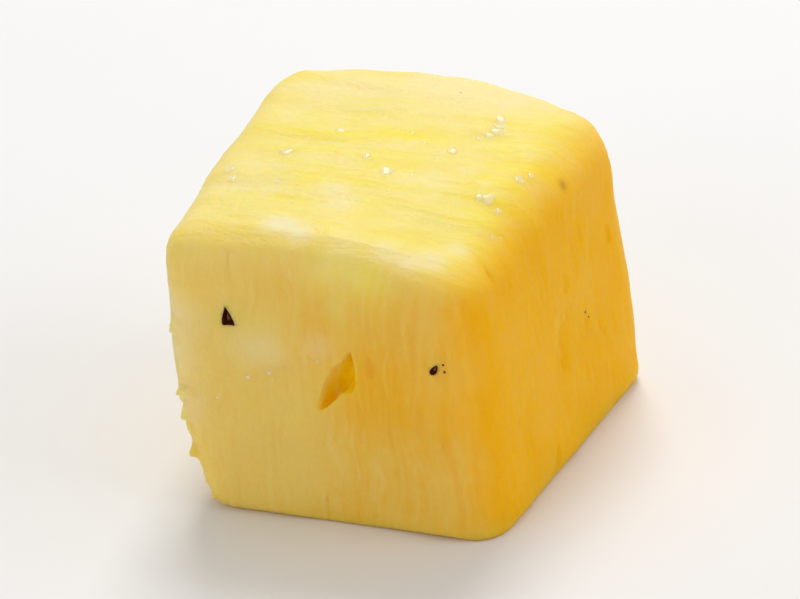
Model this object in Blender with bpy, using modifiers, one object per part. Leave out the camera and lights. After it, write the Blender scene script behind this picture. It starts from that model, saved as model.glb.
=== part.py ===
"""A pineapple chunk: one rough cube of flesh, cut by hand from a peeled fruit.

The top of the chunk is the peeled side of the fruit and keeps its curve, the base is the core
side, and the four walls are knife cuts. The front wall shows what a cut across the fruit shows
under the peeled side: two fruitlets side by side, a seed hole in each, and the split between
them.

Frame: metres, +Z up, origin in the middle of the base. The front wall faces -Y, and the long
axis of the fruit runs along Y, below the chunk.
"""

import math
from collections import namedtuple

import bmesh
import bpy
from mathutils import Matrix, Vector, noise

MM = 0.001
NAME = "pineapple_chunk"

# Driving sizes of the cube
WIDTH = 30.4 * MM  # along X, at mid height
DEPTH = 34.5 * MM  # along Y
HEIGHT = 29.9 * MM
FRUIT_RADIUS = 66.0 * MM  # the curve of the peeled side
CROWN_X = -2.5 * MM  # where the curved top is highest

# The knife cuts: heading 0 faces -Y and 90 faces +X, and a wall that leans by a positive angle
# stands out further at its foot than at its top. The top rises a little towards the back.
Cut = namedtuple("Cut", "side heading distance lean")
TOP_RISE = 2.3  # degrees
WALLS = (
    Cut("front", 0.0, DEPTH / 2, 1.0),
    Cut("right", 85.0, WIDTH / 2, 5.0),
    Cut("back", 180.0, DEPTH / 2, 1.5),
    Cut("left", 272.5, WIDTH / 2 - 1.0 * MM, -0.5),
)
BASE_TRIM = 0.35 * MM  # shaved off the base last, so that it lies flat
SIDES = ("top", "base", "front", "right", "back", "left")
ON_SIDE = (0.6, 0.95)  # how squarely a spot faces a side for none and for all of its relief
ON_BASE = (0.3, 0.8)  # how squarely it faces down for all and for none of the unevenness

# How far each edge is worn round, by the two sides that meet there
EDGE_RADIUS = {
    ("top", "front"): 2.6 * MM,
    ("top", "right"): 3.6 * MM,
    ("top", "back"): 2.2 * MM,
    ("top", "left"): 2.0 * MM,
    ("front", "right"): 5.0 * MM,
    ("right", "back"): 3.0 * MM,
    ("back", "left"): 5.5 * MM,
    ("front", "left"): 2.2 * MM,
}
BASE_EDGE_RADIUS = 1.8 * MM
BEVEL_STEPS = 6

# Slow unevenness of hand cuts in soft flesh
SWELL_LENGTH = 13.0 * MM
SWELL_HEIGHT = 0.55 * MM
LUMP_LENGTH = 4.5 * MM
LUMP_HEIGHT = 0.25 * MM
LUMP_SEED = Vector((7.0, 3.0, 5.0))

# How the soft flesh stands out and sinks as a whole
BULGE = 3.5 * MM  # the left wall is full, fullest at BULGE_Z
BULGE_Z = 20.0 * MM
DROOP = 1.5 * MM  # the corner of the top between front and right has sunk
DROOP_REACH = 11.0 * MM
DROOP_CORNER = Vector((WIDTH / 2, -DEPTH / 2, HEIGHT))

# Bands of fibre across the peeled side, which bend round a point behind the chunk
BAND_CENTRE = (-4.0 * MM, 46.0 * MM)
BAND_LENGTH = 14.0 * MM
BAND_WIDTH = 1.9 * MM
BAND_HEIGHT = 0.25 * MM

# Places on a wall are given as how far across they lie, to the right as seen from outside, and
# how far below the top.

# Seed holes, and the splits between fruitlets. Each leans to the right at its top by lean degrees,
# and is turned about its length by tilt, which makes one flank the steeper. It is narrower at its
# top by the share of narrowing, or at its foot where that is below zero.
Hollow = namedtuple("Hollow", "side across below half_width half_height depth lean tilt narrowing")
HOLLOWS = (
    Hollow("front", -10.5 * MM, 9.1 * MM, 0.8 * MM, 1.1 * MM, 1.7 * MM, 0, 0, 0.45),
    Hollow("front", 9.5 * MM, 11.7 * MM, 0.4 * MM, 0.5 * MM, 0.7 * MM, 25, 0, 0.45),
    Hollow("front", 0.0 * MM, 14.6 * MM, 1.0 * MM, 3.5 * MM, 2.2 * MM, 31, -32, -0.4),
    Hollow("back", -6.5 * MM, 9.0 * MM, 0.7 * MM, 1.0 * MM, 1.5 * MM, -10, 0, 0.45),
    Hollow("back", -3.2 * MM, 10.9 * MM, 0.5 * MM, 0.7 * MM, 0.9 * MM, 15, 0, 0.45),
    Hollow("back", 9.5 * MM, 15.0 * MM, 0.8 * MM, 3.0 * MM, 1.7 * MM, -20, 26, 0.45),
    Hollow("left", 4.0 * MM, 10.5 * MM, 0.5 * MM, 1.4 * MM, 1.2 * MM, 8, 0, 0.45),
)
HOLLOW_CENTRE = 0.1  # how far outside the surface its middle lies, as a share of its depth

# The flesh of a fruitlet is full round its seed hole
Fullness = namedtuple("Fullness", "side across below height")
FULLNESSES = (
    Fullness("front", -10.5 * MM, 9.1 * MM, 0.5 * MM),
    Fullness("front", 9.5 * MM, 11.7 * MM, 0.45 * MM),
    Fullness("back", -6.5 * MM, 9.0 * MM, 0.5 * MM),
    Fullness("left", 4.0 * MM, 10.5 * MM, 0.4 * MM),
)
FRUITLET_RADIUS = 8.0 * MM

# Shallow creases between fruitlets, from their top to their foot as (across, below)
Crease = namedtuple("Crease", "side top foot depth width")
CREASES = (
    Crease("front", (2.6 * MM, 1.5 * MM), (-2.6 * MM, 8.5 * MM), 0.4 * MM, 1.9 * MM),
    Crease("back", (0.5 * MM, 2.0 * MM), (1.5 * MM, 13.0 * MM), 0.45 * MM, 2.2 * MM),
    Crease("right", (3.0 * MM, 14.0 * MM), (1.0 * MM, 22.0 * MM), 0.35 * MM, 2.2 * MM),
)

VOXEL = 0.4 * MM
TARGET_TRIANGLES = 8000

FLESH_COLOUR = (0.86, 0.62, 0.16, 1.0)
FLESH_ROUGHNESS = 0.35
SHARP_ANGLE = 50.0  # degrees, for the shading


def clear_scene():
    for ob in list(bpy.data.objects):
        bpy.data.objects.remove(ob, do_unlink=True)


def new_collection(name):
    collection = bpy.data.collections.new(name)
    bpy.context.scene.collection.children.link(collection)
    return collection


def flesh_material():
    material = bpy.data.materials.new("pineapple_flesh")
    material.use_nodes = True
    shader = material.node_tree.nodes["Principled BSDF"]
    shader.inputs["Base Color"].default_value = FLESH_COLOUR
    shader.inputs["Roughness"].default_value = FLESH_ROUGHNESS
    shader.inputs["Metallic"].default_value = 0.0
    return material


def smoothstep(low, high, value):
    t = min(max((value - low) / (high - low), 0.0), 1.0)
    return t * t * (3.0 - 2.0 * t)


def wall_directions(wall):
    """Level directions straight out of a wall, and to the right as seen from outside."""
    heading = math.radians(wall.heading)
    outward = Vector((math.sin(heading), -math.cos(heading), 0.0))
    return outward, Vector((math.cos(heading), math.sin(heading), 0.0))


def wall_plane(wall):
    """A point on a wall at mid height, and the direction that the cut faces."""
    outward, _ = wall_directions(wall)
    lean = math.radians(wall.lean)
    point = outward * wall.distance + Vector((0.0, 0.0, HEIGHT / 2))
    return point, outward * math.cos(lean) + Vector((0.0, 0.0, math.sin(lean)))


def slice_off(bm, side_layer, side, point, normal):
    """Cuts away what lies beyond a plane, and closes the cut with one face."""
    everything = bm.verts[:] + bm.edges[:] + bm.faces[:]
    cut = bmesh.ops.bisect_plane(
        bm, geom=everything, plane_co=point, plane_no=normal, clear_outer=True
    )
    rim = [item for item in cut["geom_cut"] if isinstance(item, bmesh.types.BMEdge)]
    face = bmesh.ops.contextual_create(bm, geom=rim)["faces"][0]
    face[side_layer] = SIDES.index(side)


def edge_radius(side_a, side_b):
    if side_a == side_b:
        return 0.0
    if "base" in (side_a, side_b):
        return BASE_EDGE_RADIUS
    return EDGE_RADIUS.get((side_a, side_b)) or EDGE_RADIUS.get((side_b, side_a))


def cut_block():
    """The cube as the knife leaves it. An edge's bevel weight says how round it will be."""
    bm = bmesh.new()
    side_layer = bm.faces.layers.int.new("side")
    weight_layer = bm.edges.layers.float.new("bevel_weight_edge")
    bmesh.ops.create_cube(bm, size=4 * DEPTH)
    rise = math.radians(TOP_RISE)
    top_faces = Vector((0.0, -math.sin(rise), math.cos(rise)))
    slice_off(bm, side_layer, "top", Vector((0.0, 0.0, HEIGHT)), top_faces)
    slice_off(bm, side_layer, "base", Vector(), Vector((0.0, 0.0, -1.0)))
    for wall in WALLS:
        slice_off(bm, side_layer, wall.side, *wall_plane(wall))
    for edge in bm.edges:
        side_a, side_b = (SIDES[face[side_layer]] for face in edge.link_faces)
        edge[weight_layer] = edge_radius(side_a, side_b) / max(EDGE_RADIUS.values())
    mesh = bpy.data.meshes.new(NAME)
    bm.to_mesh(mesh)
    bm.free()
    return mesh


def bend(p):
    """How far p on the straight-sided block is from its place on the real one: the top curves
    down from its crown, the left side is full, and the front corner has sunk."""
    from_fullest = (p.z - BULGE_Z) / BULGE_Z
    out = BULGE * (1.0 - from_fullest**2) * smoothstep(0.0, WIDTH / 2, -p.x)
    curve = (p.x - CROWN_X) ** 2 / (2 * FRUIT_RADIUS) * p.z / HEIGHT
    from_corner = (p - DROOP_CORNER).length / DROOP_REACH
    return Vector((-out, 0.0, -curve - DROOP * math.exp(-(from_corner**2))))


def band_relief(p):
    """Ridges of fibre across the peeled side, in arcs round a point behind the chunk."""
    dx = p.x - BAND_CENTRE[0]
    dy = p.y - BAND_CENTRE[1]
    along = math.atan2(dx, -dy) * BAND_CENTRE[1] / BAND_LENGTH
    outward = math.hypot(dx, dy) / BAND_WIDTH
    return BAND_HEIGHT * noise.noise(Vector((along, outward, 0.0)))


def fullness_relief(fullness, across, below):
    away = math.hypot(across - fullness.across, below - fullness.below)
    return fullness.height * math.exp(-((away / FRUITLET_RADIUS) ** 2))


def crease_relief(crease, across, below):
    """A dip that opens from nothing at its top and closes again at its foot."""
    top = Vector(crease.top)
    run = Vector(crease.foot) - top
    offset = Vector((across, below)) - top
    share = offset.dot(run) / run.length_squared
    aside = abs(run.cross(offset)) / run.length
    dip = smoothstep(-0.1, 0.45, share) * (1.0 - smoothstep(0.7, 1.1, share))
    return -crease.depth * dip * (1.0 - smoothstep(0.0, crease.width, aside))


def relief(p, n):
    """How far the surface at p, which faces n, stands out from the plain cut. The base is even."""
    off_base = 1.0 - smoothstep(*ON_BASE, -n.z)
    height = SWELL_HEIGHT * noise.noise(p / SWELL_LENGTH) * off_base
    height += LUMP_HEIGHT * noise.noise(p / LUMP_LENGTH + LUMP_SEED) * off_base
    height += band_relief(p) * smoothstep(*ON_SIDE, n.z)
    for wall in WALLS:
        outward, right = wall_directions(wall)
        share = smoothstep(*ON_SIDE, n.dot(outward))
        if share > 0.0:
            spot = (p.dot(right), HEIGHT - p.z)
            height += share * sum(
                fullness_relief(item, *spot) for item in FULLNESSES if item.side == wall.side
            )
            height += share * sum(
                crease_relief(item, *spot) for item in CREASES if item.side == wall.side
            )
    return height


def add_modifier(ob, kind, **settings):
    modifier = ob.modifiers.new(kind.lower(), kind)
    for name, value in settings.items():
        setattr(modifier, name, value)


def bake_modifiers(ob):
    """Puts the evaluated mesh in the place of the object's own, and drops its modifiers."""
    evaluated = ob.evaluated_get(bpy.context.evaluated_depsgraph_get())
    mesh = bpy.data.meshes.new_from_object(evaluated)
    plain = ob.data
    ob.modifiers.clear()
    ob.data = mesh
    bpy.data.meshes.remove(plain)
    mesh.name = NAME


def soften(ob):
    """Wears the edges round, and turns the block into an even mesh of small faces."""
    widest = max(EDGE_RADIUS.values())
    add_modifier(ob, "BEVEL", limit_method="WEIGHT", width=widest, segments=BEVEL_STEPS)
    add_modifier(ob, "REMESH", mode="VOXEL", voxel_size=VOXEL)
    add_modifier(ob, "SMOOTH", factor=0.5, iterations=6)
    bake_modifiers(ob)


def carve(ob):
    """Bends the block, and adds the relief of the flesh along its normals."""
    bm = bmesh.new()
    bm.from_mesh(ob.data)
    bm.normal_update()
    bent = [vert.co + bend(vert.co) for vert in bm.verts]
    for vert, place in zip(bm.verts, bent):
        vert.co = place + vert.normal * relief(place, vert.normal)
    bm.to_mesh(ob.data)
    bm.free()


def thin_out(ob):
    """Keeps small faces only where the surface bends."""
    triangles = sum(len(polygon.vertices) - 2 for polygon in ob.data.polygons)
    add_modifier(ob, "DECIMATE", ratio=TARGET_TRIANGLES / triangles)
    bake_modifiers(ob)


def hollow_cutter(ob, hollow, collection):
    """An egg that stands half out of the wall."""
    wall = next(item for item in WALLS if item.side == hollow.side)
    outward, right = wall_directions(wall)
    eye = outward * 2 * DEPTH + right * hollow.across + Vector((0.0, 0.0, HEIGHT - hollow.below))
    _, place, _, _ = ob.ray_cast(eye, -outward)
    bm = bmesh.new()
    bmesh.ops.create_icosphere(bm, subdivisions=2, radius=1.0)
    for vert in bm.verts:
        vert.co.x *= 1.0 - hollow.narrowing * vert.co.z
    mesh = bpy.data.meshes.new("hollow_cutter")
    bm.to_mesh(mesh)
    bm.free()
    cutter = bpy.data.objects.new("hollow_cutter", mesh)
    cutter.matrix_world = (
        Matrix.Translation(place + outward * HOLLOW_CENTRE * hollow.depth)
        @ Matrix.Rotation(math.radians(wall.heading), 4, "Z")
        @ Matrix.Rotation(math.radians(hollow.lean), 4, "Y")
        @ Matrix.Rotation(math.radians(hollow.tilt), 4, "Z")
        @ Matrix.Diagonal((hollow.half_width, hollow.depth, hollow.half_height, 1.0))
    )
    cutter.hide_render = True
    cutter.display_type = "WIRE"
    collection.objects.link(cutter)


def hollow_out(ob):
    """Cuts the seed holes and the splits."""
    cutters = new_collection("cutters")
    for hollow in HOLLOWS:
        hollow_cutter(ob, hollow, cutters)
    add_modifier(ob, "BOOLEAN", operand_type="COLLECTION", collection=cutters)
    bake_modifiers(ob)
    for cutter in list(cutters.objects):
        bpy.data.objects.remove(cutter, do_unlink=True)
    bpy.data.collections.remove(cutters)


def flatten_base(ob):
    """Shaves the base flat, and sets the origin in the middle of it."""
    bm = bmesh.new()
    bm.from_mesh(ob.data)
    side_layer = bm.faces.layers.int.new("side")
    slice_off(bm, side_layer, "base", Vector((0.0, 0.0, BASE_TRIM)), Vector((0.0, 0.0, -1.0)))
    xs = [vert.co.x for vert in bm.verts]
    ys = [vert.co.y for vert in bm.verts]
    middle = Vector(((min(xs) + max(xs)) / 2, (min(ys) + max(ys)) / 2, BASE_TRIM))
    bmesh.ops.translate(bm, verts=bm.verts, vec=-middle)
    bmesh.ops.recalc_face_normals(bm, faces=bm.faces)
    bm.to_mesh(ob.data)
    bm.free()


def make_chunk(collection):
    chunk = bpy.data.objects.new(NAME, cut_block())
    collection.objects.link(chunk)
    soften(chunk)
    carve(chunk)
    thin_out(chunk)
    hollow_out(chunk)
    flatten_base(chunk)
    chunk.data.materials.clear()
    chunk.data.materials.append(flesh_material())
    chunk.data.shade_smooth()
    chunk.data.set_sharp_from_angle(angle=math.radians(SHARP_ANGLE))


def main():
    clear_scene()
    make_chunk(new_collection(NAME))


main()
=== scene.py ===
"""Dresses the pineapple chunk: fibrous, juicy flesh with its seeds and beads of juice.

The flesh is cut by the same six knife cuts as the solid it stands for, worn and swollen in the
same way, and then gets the fine relief, the colours and the wetness of the real fruit.

Frame: metres, +Z up, origin in the middle of the base. The front wall faces -Y, and the peeled
side of the fruit is the top.
"""

import math
import random
from collections import namedtuple

import bpy
from bpy.props import FloatProperty, FloatVectorProperty, IntProperty, PointerProperty
from mathutils import Matrix, Vector, noise


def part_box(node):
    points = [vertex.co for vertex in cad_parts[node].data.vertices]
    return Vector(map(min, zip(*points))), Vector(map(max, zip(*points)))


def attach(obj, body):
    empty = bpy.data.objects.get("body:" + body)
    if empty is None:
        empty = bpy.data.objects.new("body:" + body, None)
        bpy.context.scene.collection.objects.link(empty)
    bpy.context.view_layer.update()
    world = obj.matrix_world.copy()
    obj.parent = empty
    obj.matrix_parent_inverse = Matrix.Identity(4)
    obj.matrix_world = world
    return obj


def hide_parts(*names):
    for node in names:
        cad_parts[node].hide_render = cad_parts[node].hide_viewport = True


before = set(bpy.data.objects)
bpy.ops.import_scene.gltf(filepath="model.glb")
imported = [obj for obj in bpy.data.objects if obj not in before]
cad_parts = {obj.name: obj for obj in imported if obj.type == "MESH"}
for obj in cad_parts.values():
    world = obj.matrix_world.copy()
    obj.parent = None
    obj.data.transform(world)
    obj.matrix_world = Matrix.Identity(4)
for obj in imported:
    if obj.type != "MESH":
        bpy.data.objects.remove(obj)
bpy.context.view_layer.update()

bl_info = {
    "name": "Pineapple Chunk",
    "version": (1, 0, 0),
    "blender": (4, 5, 0),
    "location": "View3D > Sidebar > Pineapple",
    "description": "Builds a hand-cut chunk of pineapple with its seeds and beads of juice",
    "category": "Add Mesh",
}

MM = 0.001
CHUNK_LOW, CHUNK_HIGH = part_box("pineapple_chunk")
HAIR = 0.0001 * MM  # within this, a point counts as lying on a cut

# The block that the knife leaves, as shares of the finished chunk: its left wall swells out past
# it, and its corners are worn off.
BLOCK_SHARE = Vector((0.849, 0.961, 0.9875))
BLOCK = Vector(share * size for share, size in zip(BLOCK_SHARE, CHUNK_HIGH - CHUNK_LOW))
OUTSIDE = 2 * BLOCK.y  # well outside the chunk, measured from its middle

# The knife cuts: heading 0 faces -Y and 90 faces +X, inset is how far the cut lies inside half
# the block, a wall that leans by a positive angle stands out further at its foot, and gold is how
# deep a gold its flesh is painted: the flesh's own tone, and on the right wall largely painted
# shade and golden bounce light.
Cut = namedtuple("Cut", "side heading inset lean gold")
WALLS = (
    Cut("front", 0.0, 0.0, 1.0, 0.05),
    # Painted shade: the right wall's deep gold stands in for its shade and the golden light
    # bounced onto it
    Cut("right", 85.0, 0.0, 5.0, 0.96),
    Cut("back", 180.0, 0.0, 1.5, 0.5),
    Cut("left", 272.5, 1.0 * MM, -0.5, 0.2),
)
TOP_RISE = 2.3  # degrees, towards the back
BASE_TRIM = 0.35 * MM  # shaved off the base last, so that it lies flat
ON_SIDE = (0.6, 0.95)  # how squarely a spot faces a side for none and for all of its relief
ON_BASE = (0.3, 0.8)  # how squarely it faces down for all and for none of the unevenness

# How far each edge is worn round, by the two sides that meet there
EDGE_RADIUS = {
    ("top", "front"): 2.6 * MM,
    ("top", "right"): 3.6 * MM,
    ("top", "back"): 2.2 * MM,
    ("top", "left"): 2.0 * MM,
    ("front", "right"): 5.0 * MM,
    ("right", "back"): 3.0 * MM,
    ("back", "left"): 5.5 * MM,
    ("front", "left"): 2.2 * MM,
}
BASE_EDGE_RADIUS = 1.8 * MM
BEVEL_STEPS = 6
SMOOTHING = 12  # how many times the even mesh is smoothed
SMOOTHING_FACTOR = 0.5

# Slow unevenness of hand cuts in soft flesh
SWELL_LENGTH = 13.0 * MM
SWELL_HEIGHT = 0.55 * MM
LUMP_LENGTH = 4.5 * MM
LUMP_HEIGHT = 0.25 * MM
LUMP_SEED = Vector((7.0, 3.0, 5.0))

# How the soft flesh stands out and sinks as a whole
FRUIT_RADIUS = 66.0 * MM  # the curve of the peeled side
CROWN_X = -2.5 * MM  # where the curved top is highest
BULGE = 3.5 * MM  # the left wall is full, fullest at BULGE_Z
BULGE_Z = 20.0 * MM
DROOP = 1.5 * MM  # the corner of the top between front and right has sunk
DROOP_REACH = 11.0 * MM

# Bands of fibre across the peeled side, which bend round a point behind the chunk
BAND_CENTRE = (-4.0 * MM, 46.0 * MM)
BAND_LENGTH = 14.0 * MM
BAND_WIDTH = 1.9 * MM
BAND_HEIGHT = 0.25 * MM
FIBRE_LENGTH = 9.0 * MM
FIBRE_WIDTH = 0.85 * MM
FIBRE_HEIGHT = 0.10 * MM
STRAND_LEVEL = 0.5  # how high on a strand, from -1 to 1, the plain surface lies
STRAND_FULLNESS = 0.6  # the strands fade and swell round this share of their height

# The grain of the walls runs from the core up to the peel
GRAIN_LENGTH = 9.0 * MM
GRAIN_WIDTH = 0.9 * MM
GRAIN_HEIGHT = 0.14 * MM
GRAIN_WANDER = 1.2 * MM
GRAIN_WANDER_LENGTH = 8.0 * MM
PIT_LENGTH = 3.2 * MM
PIT_WIDTH = 1.3 * MM
PIT_DEPTH = 0.2 * MM
PIT_RARITY = (0.5, 0.7)  # how far the noise rises for the rim and for the bottom of a pit
PIT_LAYER = 3.0  # where in the noise the pits are read
UNEVEN_LAYER = 5.0  # and where the fading and swelling of the strands

# Torn flesh low on the upright edges of the left wall
RAGGED_LENGTH = 0.9 * MM
RAGGED_HEIGHT = 0.5 * MM
RAGGED_Z = (8.0 * MM, 22.0 * MM)  # all of it below the first height, none above the second
RAGGED_EDGE = (0.1, 0.45)  # how far a spot on an edge may turn to either wall, for all and none
RAGGED_LEFT = (0.0, 0.3)  # how squarely it faces left for none and for all of it
FINE_TEARS = 2.3  # how many times smaller its finer tears are
FINE_TEAR_SHARE = 0.5

# Places on a wall are given as how far across they lie, to the right as seen from outside, and
# how far below the top.

# Seed holes and splits, each an egg that is narrower at its top or at its foot. It leans to the
# right at its top by lean degrees, and is turned about its length by tilt, which makes one flank
# the steeper.
Hollow = namedtuple("Hollow", "side across below half_width half_height depth lean tilt kind")
HOLLOWS = (
    Hollow("front", -10.3 * MM, 9.1 * MM, 0.55 * MM, 1.15 * MM, 1.6 * MM, -8, 0, "cornered seed"),
    Hollow("front", 9.5 * MM, 11.7 * MM, 0.3 * MM, 0.5 * MM, 0.7 * MM, 25, 0, "seed"),
    Hollow("front", -0.5 * MM, 14.7 * MM, 0.85 * MM, 3.3 * MM, 2.1 * MM, 33, -32, "tailed split"),
    Hollow("front", 0.95 * MM, 13.2 * MM, 0.85 * MM, 2.3 * MM, 1.6 * MM, 10, -20, "split"),
    Hollow("back", -6.5 * MM, 9.0 * MM, 0.6 * MM, 1.0 * MM, 1.5 * MM, -10, 0, "seed"),
    Hollow("back", -3.2 * MM, 10.9 * MM, 0.45 * MM, 0.7 * MM, 0.9 * MM, 15, 0, "seed"),
    Hollow("back", 9.5 * MM, 15.0 * MM, 0.8 * MM, 3.0 * MM, 1.7 * MM, -20, 26, "split"),
    Hollow("left", 4.0 * MM, 10.5 * MM, 0.45 * MM, 1.4 * MM, 1.2 * MM, 8, 0, "seed"),
)
HOLLOW_CENTRE = 0.1  # how far outside the surface its middle lies, as a share of its depth
# How much narrower each kind is at its top, or at its foot where that is below zero
NARROWING = {"split": 0.6, "tailed split": -0.4, "seed": 0.4, "cornered seed": 0.7}
CORNERED_FOOT = -0.6  # where the flat foot of a three-cornered hole lies
RIM_REACH = 0.9 * MM  # how far from a split its rim is worn
RIM_SMOOTHING = 6  # how many times it is smoothed
CRISP_ANGLE = math.radians(50.0)  # a rim sharper than this is shaded as an edge
SPLIT_SHADE_DEPTH = (0.05, 0.45)  # how deep in a split its painted shade turns it golden, as shares of its depth
HOLLOW_EDGE = 1.05  # what lies within this share of a split's size is in it
STAIN = (1.0, 1.35)  # the stain round a seed hole fades out between these shares of its size
STAIN_STRENGTH = 0.45
EGG_DETAIL = 4
SEED_SHARE = 0.62  # of the hole's size
SEED_STANDING = 0.2  # how far its middle lies from the bottom of the hole, as a share of it

# The flesh of a fruitlet is full round its seed hole
Fullness = namedtuple("Fullness", "side across below height")
FULLNESSES = (
    Fullness("front", -10.5 * MM, 9.1 * MM, 0.5 * MM),
    Fullness("front", 9.5 * MM, 11.7 * MM, 0.45 * MM),
    Fullness("back", -6.5 * MM, 9.0 * MM, 0.5 * MM),
    Fullness("left", 4.0 * MM, 10.5 * MM, 0.4 * MM),
)
FRUITLET_RADIUS = 8.0 * MM

# Shallow creases between fruitlets, from their top to their foot as (across, below). Each opens
# and closes along these shares of its length.
Crease = namedtuple("Crease", "side top foot depth width")
CREASES = (
    Crease("front", (2.6 * MM, 1.5 * MM), (-2.6 * MM, 8.5 * MM), 0.4 * MM, 1.9 * MM),
    Crease("front", (-3.0 * MM, 12.6 * MM), (-9.0 * MM, 15.2 * MM), 0.2 * MM, 1.0 * MM),
    Crease("back", (0.5 * MM, 2.0 * MM), (1.5 * MM, 13.0 * MM), 0.45 * MM, 2.2 * MM),
    Crease("right", (3.0 * MM, 14.0 * MM), (1.0 * MM, 22.0 * MM), 0.35 * MM, 2.2 * MM),
)
CREASE_OPENS = (-0.1, 0.45)
CREASE_CLOSES = (0.7, 1.1)

# Patches in the flesh, as places in the frame with their radius, all in millimetres
Patch = namedtuple("Patch", "x y z radius strength")
PALE_PATCHES_AND_HIGHLIGHTS = (
    Patch(-8.5, -17.4, 17.4, 2.2, 0.2),
    Patch(-6.2, -17.4, 17.6, 2.0, 0.3),
    Patch(-1.2, -17.5, 18.8, 1.5, 0.3),
    # Painted highlights: the soft reflection of the light on the worn front edge of the peeled
    # side
    Patch(-6.1, -14.4, 29.1, 1.3, 0.8),
    Patch(-4.8, -14.1, 29.1, 1.2, 0.6),
    Patch(-3.1, -15.1, 28.9, 1.3, 0.8),
    Patch(-3.1, -7.1, 29.5, 1.3, 0.5),
    Patch(-1.4, -9.4, 29.1, 1.5, 0.5),
    # Painted highlights: the soft reflection of the light along the front edge and round the near
    # corner
    Patch(1.0, -15.2, 28.6, 1.8, 0.4),
    Patch(4.8, -14.8, 27.8, 1.2, 0.6),
    Patch(7.0, -14.9, 27.2, 1.2, 0.6),
    Patch(9.0, -13.8, 26.9, 1.3, 0.7),
    Patch(10.3, -11.0, 26.7, 1.2, 0.6),
    # Painted light: a pale strip where light shines through the thin flesh at the left edge of the
    # front
    Patch(-15.2, -16.6, 20.0, 2.4, 0.45),
    Patch(-15.2, -16.6, 15.5, 2.4, 0.45),
    Patch(-15.0, -16.6, 10.5, 2.4, 0.4),
    Patch(-12.0, -7.0, 28.6, 4.0, 0.35),
    Patch(-9.0, 12.5, 30.0, 5.0, 0.35),
    Patch(-12.0, 8.0, 29.0, 4.0, 0.15),
    Patch(1.0, 15.0, 30.0, 6.0, 0.6),
    Patch(9.0, 16.0, 28.0, 5.0, 0.5),
    Patch(-4.0, 17.5, 14.0, 3.5, 0.25),
    Patch(8.0, 17.5, 19.0, 3.0, 0.2),
    Patch(-17.5, 2.0, 8.0, 3.5, 0.2),
    Patch(-18.0, 8.0, 20.0, 4.0, 0.25),
)
# One with a strength below zero is less golden than what lies round it
GOLD_PATCHES = (
    Patch(-0.2, -17.2, 20.5, 4.0, 0.14),
    Patch(0.5, -17.5, 17.0, 3.5, 0.12),
    Patch(6.0, -17.2, 18.2, 3.5, 0.15),
    Patch(3.5, -17.5, 12.0, 4.0, 0.25),
    Patch(9.0, -17.0, 13.0, 4.0, 0.14),
    Patch(17.5, 9.0, 13.0, 5.0, -0.16),
    Patch(17.5, -6.0, 7.0, 4.0, -0.14),
    Patch(-9.0, 17.5, 9.0, 5.0, 0.25),
    Patch(11.0, 17.5, 10.0, 4.0, 0.2),
    Patch(-17.5, 10.0, 10.0, 5.0, 0.25),
    Patch(-17.5, -4.0, 14.0, 4.0, 0.15),
)
DARK_SPECKS = (Patch(14.8, 5.0, 25.8, 0.55, 0.45),)
# Where the look of the peeled side reaches down over the front edge
PEELED_PATCHES = (
    Patch(0.0, -16.3, 27.4, 3.0, 0.8),
    Patch(4.0, -16.4, 26.4, 3.2, 0.8),
    Patch(-0.2, -17.0, 23.0, 1.8, 0.35),
)

# Tiny seeds that lie in the surface: the side, how far across and below the top, and the radius
SpeckSeed = namedtuple("SpeckSeed", "side across below radius")
SPECK_SEEDS = (
    SpeckSeed("front", 10.3 * MM, 11.2 * MM, 0.12 * MM),
    SpeckSeed("front", 10.4 * MM, 11.9 * MM, 0.14 * MM),
    SpeckSeed("back", 5.5 * MM, 7.0 * MM, 0.14 * MM),
    SpeckSeed("left", -6.0 * MM, 12.0 * MM, 0.16 * MM),
    SpeckSeed("right", 7.5 * MM, 17.5 * MM, 0.15 * MM),
    SpeckSeed("right", 8.1 * MM, 18.3 * MM, 0.1 * MM),
)
SPECK_FLATNESS = 0.5

# Streaks of stronger yellow across the peeled side, in millimetres: the middle, and half the
# length and width
Streak = namedtuple("Streak", "x y length width strength")
STREAKS = (
    Streak(-7.5, 2.4, 6.0, 0.9, 0.8),
    Streak(0.5, 4.2, 6.0, 1.4, 0.9),
    Streak(-0.5, -1.6, 6.0, 1.6, 0.6),
    Streak(-8.0, -0.9, 4.0, 0.7, 0.6),
    Streak(5.0, 9.0, 5.0, 0.8, 0.4),
    Streak(3.0, -7.5, 5.0, 0.7, 0.35),
)

# Beads of juice that stand on the peeled side, as (x, y, radius) in millimetres
BEADS = (
    (-9.7, -1.5, 0.69),
    (-13.8, -5.2, 0.56),
    (-13.2, -6.6, 0.38),
    (-8.4, -7.0, 0.38),
    (0.7, -3.3, 0.56),
    (0.9, -2.7, 0.50),
    (-6.2, 3.4, 0.50),
    (-2.0, -1.1, 0.38),
    (5.1, 2.7, 0.53),
    (4.1, 1.3, 0.35),
    (7.3, 9.8, 0.50),
    (7.5, 8.9, 0.62),
    (7.6, 7.9, 0.56),
    (7.1, 7.0, 0.44),
    (6.4, 6.3, 0.38),
    (12.0, 1.3, 0.50),
    (12.6, 2.7, 0.31),
    (10.4, -3.0, 0.56),
    (9.7, -3.2, 0.38),
    (11.6, -3.6, 0.35),
)
# Those on the front wall, as (x, z, radius) in millimetres
FRONT_BEADS = (
    (-8.4, 14.5, 0.22),
    (-6.4, 15.2, 0.25),
    (-1.4, 17.2, 0.16),
    (-11.6, 12.0, 0.15),
)
BEAD_FLATNESS = 0.32
BEAD_SEED = 4
FINE_BEAD_RADIUS = (0.12 * MM, 0.2 * MM)
FINE_BEAD_SPREAD = 0.7  # how far from straight up they stray, seen from the middle
DOME_DETAIL = 3
DOME_UNEVENNESS = 0.35  # no bead and no tiny seed is quite round

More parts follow.
